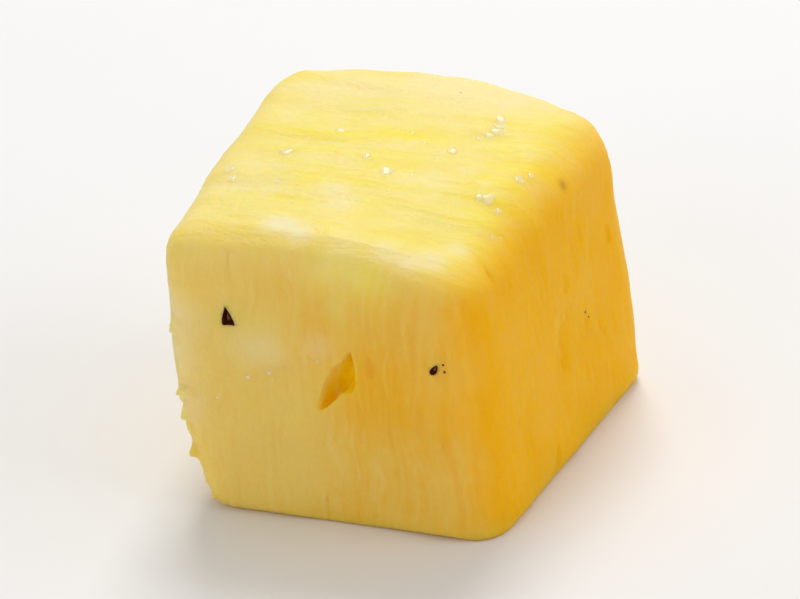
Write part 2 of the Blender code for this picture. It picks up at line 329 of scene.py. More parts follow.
# Where the knife has pulled the flesh out into torn ends, as the heading from the middle of the
# chunk in degrees, and the height, length and width in millimetres
Tear = namedtuple("Tear", "heading z length width")
TEARS = (
    Tear(317.0, 19.0, 0.7, 0.9),
    Tear(315.5, 18.0, 0.5, 0.9),
    Tear(316.0, 11.6, 0.4, 1.0),
    Tear(318.0, 9.4, 0.7, 1.0),
    Tear(314.5, 7.0, 0.5, 1.2),
    Tear(318.0, 5.4, 0.8, 1.1),
    Tear(314.0, 2.9, 0.5, 1.0),
)
TEAR_SEED = 11
TEAR_SHARPNESS = 1.2
TEAR_SLANT = (-0.7, 0.5)  # how far up or down a torn end points

# The loose ones are drawn from these spans, in degrees and millimetres
LOOSE_HEADINGS = (200.0, 320.0)
LOOSE_HEIGHTS = (2.0, 12.0)
LOOSE_LENGTHS = (0.4, 1.0)
LOOSE_WIDTHS = (0.6, 0.9)

# Colour of the flesh, from 0 for the yellow of the walls to 1 for deep gold
BASE_GOLD = 0.6
# Painted shade: across the front wall the gold grows towards the shaded right wall
RIGHT_SHADE_GOLD = 0.41  # how much is added across the front wall towards the right one
RIGHT_SHADE_GOLD_X = (-14.0 * MM, 12.0 * MM)
TOP_SHADE_GOLD_X = (5.0 * MM, 15.0 * MM)  # where painted shade turns the peeled side golden towards its right edge
TOP_SHADE_GOLD_STRENGTH = 0.55  # how much stronger the yellow of the peeled side is where it is painted golden
BLEND_REACH = 2.0 * MM  # how far round an edge the look of one side turns into the next
LEAST_NEARNESS = 1e-7  # of each side, so that their sum is never nothing

# Grain of the materials
VALLEY_GOLD = 0.08  # how much deeper the gold is between the strands of the walls
VALLEY_STREAK = 0.3  # and how much stronger the yellow between those of the peeled side
MOTTLE_LENGTH = 5.0 * MM
STREAK_LENGTH = 16.0 * MM
STREAK_WIDTH = 2.2 * MM
STRAND_LENGTH = 5.0 * MM
STRAND_WIDTH = 0.6 * MM
WAVE_LENGTH = 4.0 * MM
WAVE_HEIGHT = 2.0 * MM
FINE_LENGTH = 2.5 * MM
FINE_WIDTH = 0.3 * MM
FINE_HEIGHT = 0.12 * MM
SAC_SIZE = 0.8 * MM
SAC_HEIGHT = 0.15 * MM
SEED_MOTTLE = 0.4 * MM
FLOOR_MOTTLE = 60.0  # per metre
FLOOR_SHADE = 0.985  # how light the darkest mottling of the floor is
NOISE_MIDDLE = (0.5, 0.5, 0.5)

# How the materials read their noise and what is stored at each point: low and high, and where it
# isn't from 0 to 1, what these turn into
CREST_TO_VALLEY = (0.9, 0.1)
FINE_STREAKS = (0.35, 0.68, 0.45, 0.0)
PALE_MOTTLE = (0.5, 0.75, 0.0, 0.35)
GOLD_MOTTLE = (0.25, 0.75, -0.09, 0.09)
TOP_STRANDS = (0.5, 0.75, 0.0, 0.35)
WALL_STRANDS = (0.5, 0.75)
STRANDS_BY_GOLD = (0.2, 1.0, 0.25, 0.14)  # they fade where the flesh is golden
STRANDS_BY_MOTTLE = (0.35, 0.6)
STRAND_TINT = (0.3, 0.9)  # from the pale strands to the yellow ones of golden flesh
SAC_ROUGHNESS = (0.3, 0.7, 0.28, 0.5)
SEED_MOTTLE_SPAN = (0.35, 0.65)

# The photograph's view, in degrees and metres
VIEW_AZIMUTH = 21.8
VIEW_ELEVATION = 28.3
VIEW_ROLL = 3.7
VIEW_ANGLE = 8.25  # across the picture
VIEW_DISTANCE = 0.516
VIEW_TARGET = Vector((0.0, 0.0, 14.5 * MM))
SENSOR_WIDTH = 36.0
CLIP_START = 0.01

# The stage, in degrees and metres
FLOOR_RADIUS = 3.0
FLOOR_SIDES = 128
FLOOR_GAP = 0.02 * MM
Light = namedtuple("Light", "name power azimuth elevation distance size colour")
LIGHTS = (
    Light("key_light", "key_power", 195.0, 58.0, 0.5, 0.2, (1.0, 0.99, 0.97)),
    Light("side_light", "side_power", 95.0, 30.0, 0.6, 0.4, (1.0, 0.99, 0.97)),
    Light("fill_light", "fill_power", -25.0, 20.0, 0.6, 0.4, (1.0, 1.0, 1.0)),
)


def smoothstep(low, high, value):
    t = min(max((value - low) / (high - low), 0.0), 1.0)
    return t * t * (3.0 - 2.0 * t)


# ---- Shared steps of modelling ----


def select_only(piece):
    bpy.ops.object.select_all(action="DESELECT")
    piece.select_set(True)
    bpy.context.view_layer.objects.active = piece


def finish_with(piece, kind, **settings):
    """Adds a modifier to a piece and applies it."""
    select_only(piece)
    bpy.ops.object.modifier_add(type=kind)
    modifier = piece.modifiers[-1]
    for name, value in settings.items():
        setattr(modifier, name, value)
    bpy.ops.object.modifier_apply(modifier=modifier.name)


def dress(piece, name, *materials):
    """Names a finished piece, gives it its materials and lets it ride on the chunk's body."""
    piece.name = name
    piece.data.name = name
    for material in materials:
        piece.data.materials.append(material)
    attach(piece, "root")


def paint(piece, name, values):
    """Stores a value for each point of a piece, which its material reads."""
    layer = piece.data.attributes.new(name, "FLOAT", "POINT")
    layer.data.foreach_set("value", values)


# ---- The flesh ----


def wall_directions(wall):
    """Level directions straight out of a wall, and to the right as seen from outside."""
    heading = math.radians(wall.heading)
    outward = Vector((math.sin(heading), -math.cos(heading), 0.0))
    return outward, Vector((math.cos(heading), math.sin(heading), 0.0))


def knife_cuts():
    """Each side's name, a point on its cut and the direction that the cut faces."""
    rise = math.radians(TOP_RISE)
    cuts = {
        "top": (Vector((0.0, 0.0, BLOCK.z)), Vector((0.0, -math.sin(rise), math.cos(rise)))),
        "base": (Vector(), Vector((0.0, 0.0, -1.0))),
    }
    for wall in WALLS:
        outward, _ = wall_directions(wall)
        half = BLOCK.x / 2 if abs(outward.x) > abs(outward.y) else BLOCK.y / 2
        lean = math.radians(wall.lean)
        point = outward * (half - wall.inset) + Vector((0.0, 0.0, BLOCK.z / 2))
        cuts[wall.side] = (point, outward * math.cos(lean) + Vector((0.0, 0.0, math.sin(lean))))
    return cuts


def edge_radius(side_a, side_b):
    if "base" in (side_a, side_b):
        return BASE_EDGE_RADIUS
    return EDGE_RADIUS.get((side_a, side_b)) or EDGE_RADIUS.get((side_b, side_a))


def slice_off(point, facing):
    """In edit mode, cuts away what lies beyond a plane and closes the cut."""
    bpy.ops.mesh.select_all(action="SELECT")
    bpy.ops.mesh.bisect(
        plane_co=point, plane_no=facing, use_fill=True, clear_outer=True, threshold=HAIR
    )


def cut_block(cuts):
    """Cuts a block from a bigger cube by six knife cuts, each closed with one face."""
    bpy.ops.mesh.primitive_cube_add(size=4 * BLOCK.y)
    block = bpy.context.object
    bpy.ops.object.mode_set(mode="EDIT")
    for point, facing in cuts.values():
        slice_off(point, facing)
    bpy.ops.object.mode_set(mode="OBJECT")
    return block


def wear_edges(block, cuts, voxel):
    """Rounds each edge by its own radius, and turns the block into an even fine mesh."""
    sides = {}
    for polygon in block.data.polygons:
        side = max(cuts, key=lambda name: cuts[name][1].dot(polygon.normal))
        for key in polygon.edge_keys:
            sides.setdefault(key, []).append(side)
    widest = max(EDGE_RADIUS.values())
    weights = block.data.attributes.new("bevel_weight_edge", "FLOAT", "EDGE")
    for edge in block.data.edges:
        weights.data[edge.index].value = edge_radius(*sides[edge.key]) / widest
    finish_with(block, "BEVEL", limit_method="WEIGHT", width=widest, segments=BEVEL_STEPS)
    finish_with(block, "REMESH", mode="VOXEL", voxel_size=voxel)
    finish_with(block, "SMOOTH", factor=SMOOTHING_FACTOR, iterations=SMOOTHING)


def bend(p):
    """How far p on the straight-sided block is from its place on the real one: the top curves
    down from its crown, the left side is full, and the front corner has sunk."""
    from_fullest = (p.z - BULGE_Z) / BULGE_Z
    out = BULGE * (1.0 - from_fullest**2) * smoothstep(0.0, BLOCK.x / 2, -p.x)
    curve = (p.x - CROWN_X) ** 2 / (2 * FRUIT_RADIUS) * p.z / BLOCK.z
    from_corner = (p - Vector((BLOCK.x / 2, -BLOCK.y / 2, BLOCK.z))).length / DROOP_REACH
    return Vector((-out, 0.0, -curve - DROOP * math.exp(-(from_corner**2))))


def band_place(p, length, width):
    """Where p lies along and across the arcs of fibre on the peeled side."""
    dx = p.x - BAND_CENTRE[0]
    dy = p.y - BAND_CENTRE[1]
    along = math.atan2(dx, -dy) * BAND_CENTRE[1]
    return Vector((along / length, math.hypot(dx, dy) / width, 0.0))


def ridges(place):
    """Noise with sharp crests, from -1 to 1, as strands lying side by side have."""
    return 1.0 - 2.0 * abs(noise.noise(place))


def peeled_crest(p):
    """The crests of the strands across the peeled side, from -1 to 1."""
    return ridges(band_place(p, FIBRE_LENGTH, FIBRE_WIDTH))


def grain_crest(across, z):
    """The crests of the strands that run up a wall, from -1 to 1."""
    wander = GRAIN_WANDER * noise.noise(Vector((across, 0.0, z)) / GRAIN_WANDER_LENGTH)
    return ridges(Vector(((across + wander) / GRAIN_WIDTH, 0.0, z / GRAIN_LENGTH)))


def peeled_relief(p):
    """Bands of fibre with finer strands on them."""
    bands = BAND_HEIGHT * noise.noise(band_place(p, BAND_LENGTH, BAND_WIDTH))
    uneven = STRAND_FULLNESS + noise.noise(p / SWELL_LENGTH - LUMP_SEED)
    return bands + FIBRE_HEIGHT * (peeled_crest(p) - STRAND_LEVEL) * uneven


def grain_relief(across, z):
    """Strands that run up a wall, with a few small pits between them."""
    pit = noise.noise(Vector((across / PIT_WIDTH, PIT_LAYER, z / PIT_LENGTH)))
    uneven = STRAND_FULLNESS + noise.noise(Vector((across, UNEVEN_LAYER, z)) / LUMP_LENGTH)
    strands = GRAIN_HEIGHT * uneven * (grain_crest(across, z) - STRAND_LEVEL)
    return strands - PIT_DEPTH * smoothstep(*PIT_RARITY, pit)


def fullness_relief(fullness, across, below):
    away = math.hypot(across - fullness.across, below - fullness.below)
    return fullness.height * math.exp(-((away / FRUITLET_RADIUS) ** 2))


def crease_relief(crease, across, below):
    """A dip that opens from nothing at its top and closes again at its foot."""
    top = Vector(crease.top)
    run = Vector(crease.foot) - top
    offset = Vector((across, below)) - top
    share = offset.dot(run) / run.length_squared
    aside = abs(run.cross(offset)) / run.length
    dip = smoothstep(*CREASE_OPENS, share) * (1.0 - smoothstep(*CREASE_CLOSES, share))
    return -crease.depth * dip * (1.0 - smoothstep(0.0, crease.width, aside))


def wall_relief(wall, p):
    """What stands out and sinks on one wall."""
    _, right = wall_directions(wall)
    across = p.dot(right)
    below = BLOCK.z - p.z
    relief = grain_relief(across, p.z)
    relief += sum(
        fullness_relief(item, across, below) for item in FULLNESSES if item.side == wall.side
    )
    relief += sum(crease_relief(item, across, below) for item in CREASES if item.side == wall.side)
    return relief


def ragged_relief(p, n):
    """Torn flesh low on the edges where the left wall meets the front and the back."""
    on_edge = 1.0 - smoothstep(*RAGGED_EDGE, abs(abs(n.x) - abs(n.y)))
    low = 1.0 - smoothstep(*RAGGED_Z, p.z)
    left = smoothstep(*RAGGED_LEFT, -n.x)
    torn = noise.noise(p / RAGGED_LENGTH)
    torn += FINE_TEAR_SHARE * noise.noise(FINE_TEARS * p / RAGGED_LENGTH)
    return RAGGED_HEIGHT * on_edge * low * left * torn


def relief(p, n):
    """How far the surface at p, which faces n, stands out from the plain cut. The base is even."""
    off_base = 1.0 - smoothstep(*ON_BASE, -n.z)
    out = SWELL_HEIGHT * noise.noise(p / SWELL_LENGTH)
    out += LUMP_HEIGHT * noise.noise(p / LUMP_LENGTH + LUMP_SEED)
    out += ragged_relief(p, n)
    out *= off_base
    out += peeled_relief(p) * smoothstep(*ON_SIDE, n.z)
    for wall in WALLS:
        outward, _ = wall_directions(wall)
        share = smoothstep(*ON_SIDE, n.dot(outward))
        if share > 0.0:
            out += share * wall_relief(wall, p)
    return out


def sculpt(block):
    """Bends the block, and raises the relief of the flesh along its normals."""
    mesh = block.data
    for vert in mesh.vertices:
        vert.co += bend(vert.co)
    normals = [vert.normal.copy() for vert in mesh.vertices]
    for vert, normal in zip(mesh.vertices, normals):
        vert.co += normal * relief(vert.co, normal)
    mesh.update()


def wall_named(side):
    return next(wall for wall in WALLS if wall.side == side)


def find_on_wall(flesh, spot, origin=Vector()):
    """Where the flesh lies at a seed's or a hollow's place on its wall, found from outside, and
    the direction out of that wall. The block's own origin may lie elsewhere than the frame's."""
    outward, right = wall_directions(wall_named(spot.side))
    level = Vector((0.0, 0.0, BLOCK.z - spot.below))
    start = origin + outward * OUTSIDE + right * spot.across + level
    _, place, _, _ = flesh.ray_cast(start, -outward)
    return place, outward


def is_seed_hole(hollow):
    return hollow.kind.endswith("seed")


def hollow_matrix(hollow, place, share=1.0):
    """Stands a shape at its place on the wall, turned and sized as a share of the hollow there."""
    size = Vector((hollow.half_width, hollow.depth, hollow.half_height)) * share
    return (
        Matrix.Translation(place)
        @ Matrix.Rotation(math.radians(wall_named(hollow.side).heading), 4, "Z")
        @ Matrix.Rotation(math.radians(hollow.lean), 4, "Y")
        @ Matrix.Rotation(math.radians(hollow.tilt), 4, "Z")
        @ Matrix.Diagonal((*size, 1.0))
    )


def add_egg(matrix, kind):
    """An egg with one end narrower, or one with a flat foot as well, made in the unit sphere and
    then placed."""
    bpy.ops.mesh.primitive_ico_sphere_add(subdivisions=EGG_DETAIL, radius=1.0)
    egg = bpy.context.object
    for vert in egg.data.vertices:
        if kind == "cornered seed":
            vert.co.z = max(vert.co.z, CORNERED_FOOT)
        vert.co.x *= 1.0 - NARROWING[kind] * vert.co.z
    egg.matrix_world = matrix
    bpy.ops.object.transform_apply(location=True, rotation=True, scale=True)
    return egg


def join(pieces):
    select_only(pieces[0])
    for piece in pieces[1:]:
        piece.select_set(True)
    bpy.ops.object.join()
    return bpy.context.object


def cutter_matrices(flesh):
    """Where each hollow's cutter stands: half out of the wall."""
    matrices = []
    for hollow in HOLLOWS:
        place, outward = find_on_wall(flesh, hollow)
        matrices.append(hollow_matrix(hollow, place + outward * HOLLOW_CENTRE * hollow.depth))
    return matrices


def hollow_out(flesh, matrices):
    """Cuts the seed holes and the splits, lines the seed holes with the second material, and
    wears the rims of the splits. Two that are next to each other in the list may overlap, so they
    are cut in turn."""
    eggs = [add_egg(matrix, hollow.kind) for hollow, matrix in zip(HOLLOWS, matrices)]
    for egg, hollow in zip(eggs, HOLLOWS):
        for material in flesh.data.materials:
            egg.data.materials.append(material)
        for polygon in egg.data.polygons:
            polygon.material_index = int(is_seed_hole(hollow))
    for cutter in (join(eggs[::2]), join(eggs[1::2])):
        finish_with(flesh, "BOOLEAN", object=cutter, material_mode="INDEX")
        bpy.data.objects.remove(cutter)
    rims = flesh.vertex_groups.new(name="rims")
    shells = [
        (matrix.inverted(), min(matrix.to_scale()))
        for hollow, matrix in zip(HOLLOWS, matrices) if not is_seed_hole(hollow)
    ]
    for vert in flesh.data.vertices:
        worn = max(
            1.0 - smoothstep(0.0, RIM_REACH, abs((inverse @ vert.co).length - 1.0) * size)
            for inverse, size in shells
        )
        rims.add([vert.index], worn, "REPLACE")
    settings = {"factor": SMOOTHING_FACTOR, "iterations": RIM_SMOOTHING, "vertex_group": "rims"}
    finish_with(flesh, "SMOOTH", **settings)


def flatten_base(flesh):
    """Shaves the base flat, and sets it down in the middle of the chunk's box. Returns where the
    block's own origin then lies."""
    select_only(flesh)
    bpy.ops.object.mode_set(mode="EDIT")
    slice_off((0.0, 0.0, BASE_TRIM), (0.0, 0.0, -1.0))
    bpy.ops.object.mode_set(mode="OBJECT")
    xs = [vert.co.x for vert in flesh.data.vertices]
    ys = [vert.co.y for vert in flesh.data.vertices]
    middle = (CHUNK_LOW + CHUNK_HIGH) / 2
    origin = Vector((
        middle.x - (min(xs) + max(xs)) / 2,
        middle.y - (min(ys) + max(ys)) / 2,
        CHUNK_LOW.z - BASE_TRIM,
    ))
    flesh.location = origin
    bpy.ops.object.transform_apply(location=True)
    return origin


def side_shares(p, cuts):
    """How much each side's look counts at p on the block, by how near its cut is."""
    plain = p - bend(p)
    nearness = {}
    for side, (point, facing) in cuts.items():
        inside = max((point - plain).dot(facing), 0.0)
        nearness[side] = math.exp(-((inside / BLEND_REACH) ** 2)) + LEAST_NEARNESS
    total = sum(nearness.values())
    return {side: value / total for side, value in nearness.items()}


def patches_at(p, patches):
    """How much a list of soft round patches covers p."""
    cover = 0.0
    for patch in patches:
        away = (p - Vector((patch.x, patch.y, patch.z)) * MM).length / (patch.radius * MM)
        cover += patch.strength * math.exp(-(away**2))
    return min(cover, 1.0)


def crest_at(p, shares):
    """The crests of the strands at p, whichever side it lies on."""
    crest = shares["top"] * peeled_crest(p)
    for wall in WALLS:
        _, right = wall_directions(wall)
        crest += shares[wall.side] * grain_crest(p.dot(right), p.z)
    return crest


def gold_at(p, shares):
    """How deep a gold the flesh is painted at p, by its side: its own tone, with painted shade and
    golden bounce light on the right wall and on the flesh next to it.
    """
    gold = sum(wall.gold * shares[wall.side] for wall in WALLS) + BASE_GOLD * shares["base"]
    # Painted shade: deeper gold across the front towards the shaded right wall
    gold += RIGHT_SHADE_GOLD * smoothstep(*RIGHT_SHADE_GOLD_X, p.x) * shares["front"]
    # Painted shade: the peeled side turns golden towards its right edge
    gold += smoothstep(*TOP_SHADE_GOLD_X, p.x) * shares["top"]
    return gold + patches_at(p, GOLD_PATCHES)


def hollow_share(p, hollow, inverse):
    """How far out p lies from the middle of a hollow, where 1 is its wall."""
    place = inverse @ p
    place.x /= 1.0 - NARROWING[hollow.kind] * min(max(place.z, -1.0), 1.0)
    if hollow.kind == "cornered seed":
        return max(place.length, place.z / CORNERED_FOOT)
    return place.length


def nearest_hollow(p, hollows):
    return min(hollow_share(p, hollow, inverse) for hollow, inverse in hollows)


def depth_in_split(p, splits):
    """How deep p lies in a split, from 0 at its rim or outside it to 1 near its bottom."""
    depths = [0.0]
    for hollow, inverse in splits:
        if hollow_share(p, hollow, inverse) < HOLLOW_EDGE:
            depths.append(smoothstep(*SPLIT_SHADE_DEPTH, (inverse @ p).y))
    return max(depths)


def streaks_at(p):
    """How much the strong yellow streaks of the peeled side cover p."""
    cover = 0.0
    for streak in STREAKS:
        middle = Vector((streak.x, streak.y, 0.0)) * MM
        away = band_place(p, streak.length * MM, streak.width * MM)
        away -= band_place(middle, streak.length * MM, streak.width * MM)
        cover += streak.strength * math.exp(-away.length_squared)
    return min(cover, 1.0)


def paint_flesh(flesh, cuts, hollows, origin):
    """Stores what the material needs to know of each point."""
    seed_holes = [item for item in hollows if is_seed_hole(item[0])]
    splits = [item for item in hollows if not is_seed_hole(item[0])]
    points = [vert.co for vert in flesh.data.vertices]
    shares = [side_shares(p - origin, cuts) for p in points]
    stains = [1.0 - smoothstep(*STAIN, nearest_hollow(p, seed_holes)) for p in points]
    paint(flesh, "peeled", [
        max(share["top"], patches_at(p, PEELED_PATCHES)) for p, share in zip(points, shares)
    ])
    paint(flesh, "crest", [crest_at(p - origin, share) for p, share in zip(points, shares)])
    # gold: the flesh's own tone, with painted shade and golden bounce light on the right wall and
    # next to it
    paint(flesh, "gold", [gold_at(p, share) for p, share in zip(points, shares)])
    # pale: pale flesh, and painted highlights and painted light along the front edges
    paint(flesh, "pale", [patches_at(p, PALE_PATCHES_AND_HIGHLIGHTS) for p in points])
    paint(flesh, "streak", [streaks_at(p) for p in points])
    paint(flesh, "stain", [
        max(STAIN_STRENGTH * stain, patches_at(p, DARK_SPECKS)) for stain, p in zip(stains, points)
    ])
    # split: painted shade, deeper gold towards the bottom of each split
    paint(flesh, "split", [depth_in_split(p, splits) for p in points])


def tear(flesh, loose_tears):
    """Pulls the flesh out into torn ends at the left edge, low on the left and at the back."""
    draw = random.Random(TEAR_SEED)
    tears = list(TEARS)
    for _ in range(loose_tears):
        tears.append(Tear(
            draw.uniform(*LOOSE_HEADINGS),
            draw.uniform(*LOOSE_HEIGHTS),
            draw.uniform(*LOOSE_LENGTHS),
            draw.uniform(*LOOSE_WIDTHS),
        ))
    pulls = []
    for item in tears:
        heading = math.radians(item.heading)
        outward = Vector((math.sin(heading), -math.cos(heading), 0.0))
        axis = Vector((0.0, 0.0, item.z * MM))
        _, place, _, _ = flesh.ray_cast(axis + outward * OUTSIDE, -outward)
        direction = outward + Vector((0.0, 0.0, draw.uniform(*TEAR_SLANT)))
        pulls.append((place, direction.normalized() * item.length * MM, item.width * MM))
    for vert in flesh.data.vertices:
        for place, pull, width in pulls:
            near = 1.0 - (vert.co - place).length / width
            if near > 0.0:
                vert.co += pull * near**TEAR_SHARPNESS
    flesh.data.update()


def make_flesh(settings, materials):
    """The chunk itself, of the first material, with its seed holes lined with the second."""
    cuts = knife_cuts()
    flesh = cut_block(cuts)
    wear_edges(flesh, cuts, settings.voxel)
    for material in materials:
        flesh.data.materials.append(material)
    sculpt(flesh)
    matrices = cutter_matrices(flesh)
    hollow_out(flesh, matrices)
    origin = flatten_base(flesh)
    tear(flesh, settings.loose_tears)
    shift = Matrix.Translation(origin)
    hollows = [(hollow, (shift @ matrix).inverted()) for hollow, matrix in zip(HOLLOWS, matrices)]
    paint_flesh(flesh, cuts, hollows, origin)
    flesh["block_origin"] = origin
    select_only(flesh)
    bpy.ops.object.shade_smooth_by_angle(angle=CRISP_ANGLE)
    return flesh


# ---- Seeds and juice ----


def add_dome(place, normal, radius, flatness):
    """A low uneven dome that faces along the normal, half sunk in the flesh."""
    bpy.ops.mesh.primitive_ico_sphere_add(subdivisions=DOME_DETAIL, radius=radius)
    dome = bpy.context.object
    for vert in dome.data.vertices:
        vert.co *= 1.0 + DOME_UNEVENNESS * noise.noise(vert.co / radius + place / MM)
    turn = normal.to_track_quat("Z", "X").to_matrix().to_4x4()
    flatten = Matrix.Diagonal((1.0, 1.0, flatness, 1.0))
    dome.matrix_world = Matrix.Translation(place) @ turn @ flatten
    bpy.ops.object.transform_apply(location=True, rotation=True, scale=True)
    return dome


def make_seeds(flesh):
    """A pip at the bottom of each seed hole, and a few tiny ones in the surface."""
    origin = Vector(flesh["block_origin"])
    pips = []
    for speck in SPECK_SEEDS:
        place, outward = find_on_wall(flesh, speck, origin)
        pips.append(add_dome(place, outward, speck.radius, SPECK_FLATNESS))
    for hollow in HOLLOWS:
        if is_seed_hole(hollow):
            bottom, outward = find_on_wall(flesh, hollow, origin)
            place = bottom + outward * hollow.depth * SEED_STANDING
            pips.append(add_egg(hollow_matrix(hollow, place, SEED_SHARE), hollow.kind))
    seeds = join(pips)
    bpy.ops.object.shade_smooth()
    return seeds


def make_beads(flesh, settings):
    """Beads of juice on the peeled side and the front wall, and finer ones all over the chunk."""
    beads = []
    for x, y, radius in BEADS:
        above = Vector((x * MM, y * MM, OUTSIDE))
        _, place, normal, _ = flesh.ray_cast(above, Vector((0.0, 0.0, -1.0)))
        beads.append(add_dome(place, normal, radius * MM, BEAD_FLATNESS))
    for x, z, radius in FRONT_BEADS:
        before = Vector((x * MM, -OUTSIDE, z * MM))
        _, place, normal, _ = flesh.ray_cast(before, Vector((0.0, 1.0, 0.0)))
        beads.append(add_dome(place, normal, radius * MM, BEAD_FLATNESS))
    middle = Vector((0.0, 0.0, BLOCK.z / 2))
    draw = random.Random(BEAD_SEED)
    for _ in range(settings.fine_beads):
        aside = draw.gauss(0.0, FINE_BEAD_SPREAD)
        toward = Vector((aside, draw.gauss(0.0, FINE_BEAD_SPREAD), 1.0)).normalized()
        _, place, normal, _ = flesh.ray_cast(middle + toward * OUTSIDE, -toward)
        beads.append(add_dome(place, normal, draw.uniform(*FINE_BEAD_RADIUS), BEAD_FLATNESS))
    made = join(beads)
    bpy.ops.object.shade_smooth()
    return made


# ---- Materials ----


def add_node(tree, kind, inputs=None, **settings):
    """Adds a node, sets its fields, and fills its inputs with values or with other outputs."""
    node = tree.nodes.new("ShaderNode" + kind)
    for name, value in settings.items():
        setattr(node, name, value)
    for key, value in (inputs or {}).items():
        if isinstance(value, bpy.types.NodeSocket):
            tree.links.new(value, node.inputs[key])
        else:
            node.inputs[key].default_value = value
    return node


def mix_colours(tree, share, first, second):
    """The first colour where share is 0, and the second where it is 1."""
    node = add_node(tree, "Mix", {0: share, 6: first, 7: second}, data_type="RGBA")
    return node.outputs[2]


def calculate(tree, operation, *values):
    return add_node(tree, "Math", dict(enumerate(values)), operation=operation).outputs[0]


def scale_vector(tree, vector, factors):
    return add_node(tree, "VectorMath", {0: vector, 1: factors}, operation="MULTIPLY").outputs[0]


def span(tree, value, low, high, new_low=0.0, new_high=1.0):
    """Maps low to new_low and high to new_high, with a soft start and end."""
    inputs = {0: value, 1: low, 2: high, 3: new_low, 4: new_high}
    return add_node(tree, "MapRange", inputs, interpolation_type="SMOOTHSTEP").outputs[0]


def noise_value(tree, vector, detail=2.0, roughness=0.5, distortion=0.0):
    inputs = {
        "Vector": vector,
        "Scale": 1.0,
        "Detail": detail,
        "Roughness": roughness,
        "Distortion": distortion,
    }
    return add_node(tree, "TexNoise", inputs).outputs[0]


def attribute(tree, name):
    return add_node(tree, "Attribute", attribute_name=name).outputs["Fac"]


def new_material(name, **sockets):
    """A material whose Principled shader has these sockets set."""
    material = bpy.data.materials.new(name)
    material.use_nodes = True
    shader = material.node_tree.nodes["Principled BSDF"]
    for key, value in sockets.items():
        shader.inputs[key.replace("_", " ")].default_value = value
    return material, material.node_tree, shader


def wavy(tree, place):
    """Shifts places a little, so that what runs straight along them wanders."""
    coarse = scale_vector(tree, place, (1 / WAVE_LENGTH,) * 3)
    shift = add_node(tree, "TexNoise", {"Vector": coarse, "Scale": 1.0, "Detail": 1.0}).outputs[1]
    centred = add_node(tree, "VectorMath", {0: shift, 1: NOISE_MIDDLE}, operation="SUBTRACT")
    offset = scale_vector(tree, centred.outputs[0], (WAVE_HEIGHT,) * 3)
    return add_node(tree, "VectorMath", {0: place, 1: offset}, operation="ADD").outputs[0]


def band_coordinates(tree, place):
    """Along and across the arcs of fibre on the peeled side, in metres."""
    centre = (*BAND_CENTRE, 0.0)
    offset = add_node(tree, "VectorMath", {0: place, 1: centre}, operation="SUBTRACT").outputs[0]
    x, y, _ = add_node(tree, "SeparateXYZ", {0: offset}).outputs
    angle = calculate(tree, "ARCTAN2", x, calculate(tree, "MULTIPLY", y, -1.0))
    along = calculate(tree, "MULTIPLY", angle, BAND_CENTRE[1])
    level = add_node(tree, "CombineXYZ", {0: x, 1: y}).outputs[0]
    across = add_node(tree, "VectorMath", {0: level}, operation="LENGTH").outputs["Value"]
    return add_node(tree, "CombineXYZ", {0: along, 1: across}).outputs[0]


def peeled_colour(tree, colours, bands, mottle, valley):
    """Lemon yellow with stronger streaks, a stronger yellow again as painted shade towards the
    right edge, and with pale strands across.
    """
    along = scale_vector(tree, bands, (1 / STREAK_LENGTH, 1 / STREAK_WIDTH, 0.0))
    streaks = span(tree, noise_value(tree, along, detail=4.0, roughness=0.6), *FINE_STREAKS)
    streak = calculate(tree, "MAXIMUM", streaks, attribute(tree, "streak"))
    streak = calculate(tree, "ADD", streak, calculate(tree, "MULTIPLY", valley, VALLEY_STREAK))
    # Painted shade: the peeled side turns golden towards the shaded right wall
    shade_gold = calculate(tree, "MULTIPLY", attribute(tree, "gold"), TOP_SHADE_GOLD_STRENGTH)
    streak = calculate(tree, "ADD", streak, shade_gold)
    colour = mix_colours(tree, streak, colours.peel_side, colours.streak)
    colour = mix_colours(tree, span(tree, mottle, *PALE_MOTTLE), colour, colours.pale)

    across = scale_vector(tree, bands, (1 / STRAND_LENGTH, 1 / STRAND_WIDTH, 0.0))
    strands = noise_value(tree, across, detail=3.0, distortion=0.6)
    return mix_colours(tree, span(tree, strands, *TOP_STRANDS), colour, colours.strand)


def wall_colour(tree, colours, place, mottle, valley):
    """From yellow to deep gold, the gold in part painted shade, with painted shade deep in the
    splits and pale strands that run up the walls.
    """
    gold = calculate(tree, "ADD", attribute(tree, "gold"), span(tree, mottle, *GOLD_MOTTLE))
    gold = calculate(tree, "ADD", gold, calculate(tree, "MULTIPLY", valley, VALLEY_GOLD))
    colour = mix_colours(tree, span(tree, gold, 0.0, 1.0), colours.wall, colours.gold)
    # Painted shade: deep gold towards the bottom of each split
    colour = mix_colours(tree, attribute(tree, "split"), colour, colours.split)

    upwards = scale_vector(tree, place, (1 / STRAND_WIDTH, 1 / STRAND_WIDTH, 1 / STRAND_LENGTH))
    strands = span(tree, noise_value(tree, upwards, detail=3.0, distortion=0.6), *WALL_STRANDS)
    by_gold = span(tree, gold, *STRANDS_BY_GOLD)
    strength = calculate(tree, "MULTIPLY", by_gold, span(tree, mottle, *STRANDS_BY_MOTTLE))
    share = calculate(tree, "MULTIPLY", strands, strength)
    strand = mix_colours(tree, span(tree, gold, *STRAND_TINT), colours.strand, colours.streak)
    return mix_colours(tree, share, colour, strand)


def flesh_colour(tree, colours, place, bands):
    """The looks of the peeled side and of the walls, with pale patches, some of them painted
    highlights and painted light, and brown stains.
    """
    mottle = noise_value(tree, scale_vector(tree, place, (1 / MOTTLE_LENGTH,) * 3), detail=3.0)
    valley = span(tree, attribute(tree, "crest"), *CREST_TO_VALLEY)
    wall = wall_colour(tree, colours, place, mottle, valley)
    top = peeled_colour(tree, colours, bands, mottle, valley)
    colour = mix_colours(tree, attribute(tree, "peeled"), wall, top)
    # Pale patches, some of them painted highlights and painted light
    colour = mix_colours(tree, attribute(tree, "pale"), colour, colours.pale)
    return mix_colours(tree, attribute(tree, "stain"), colour, colours.seed_light)


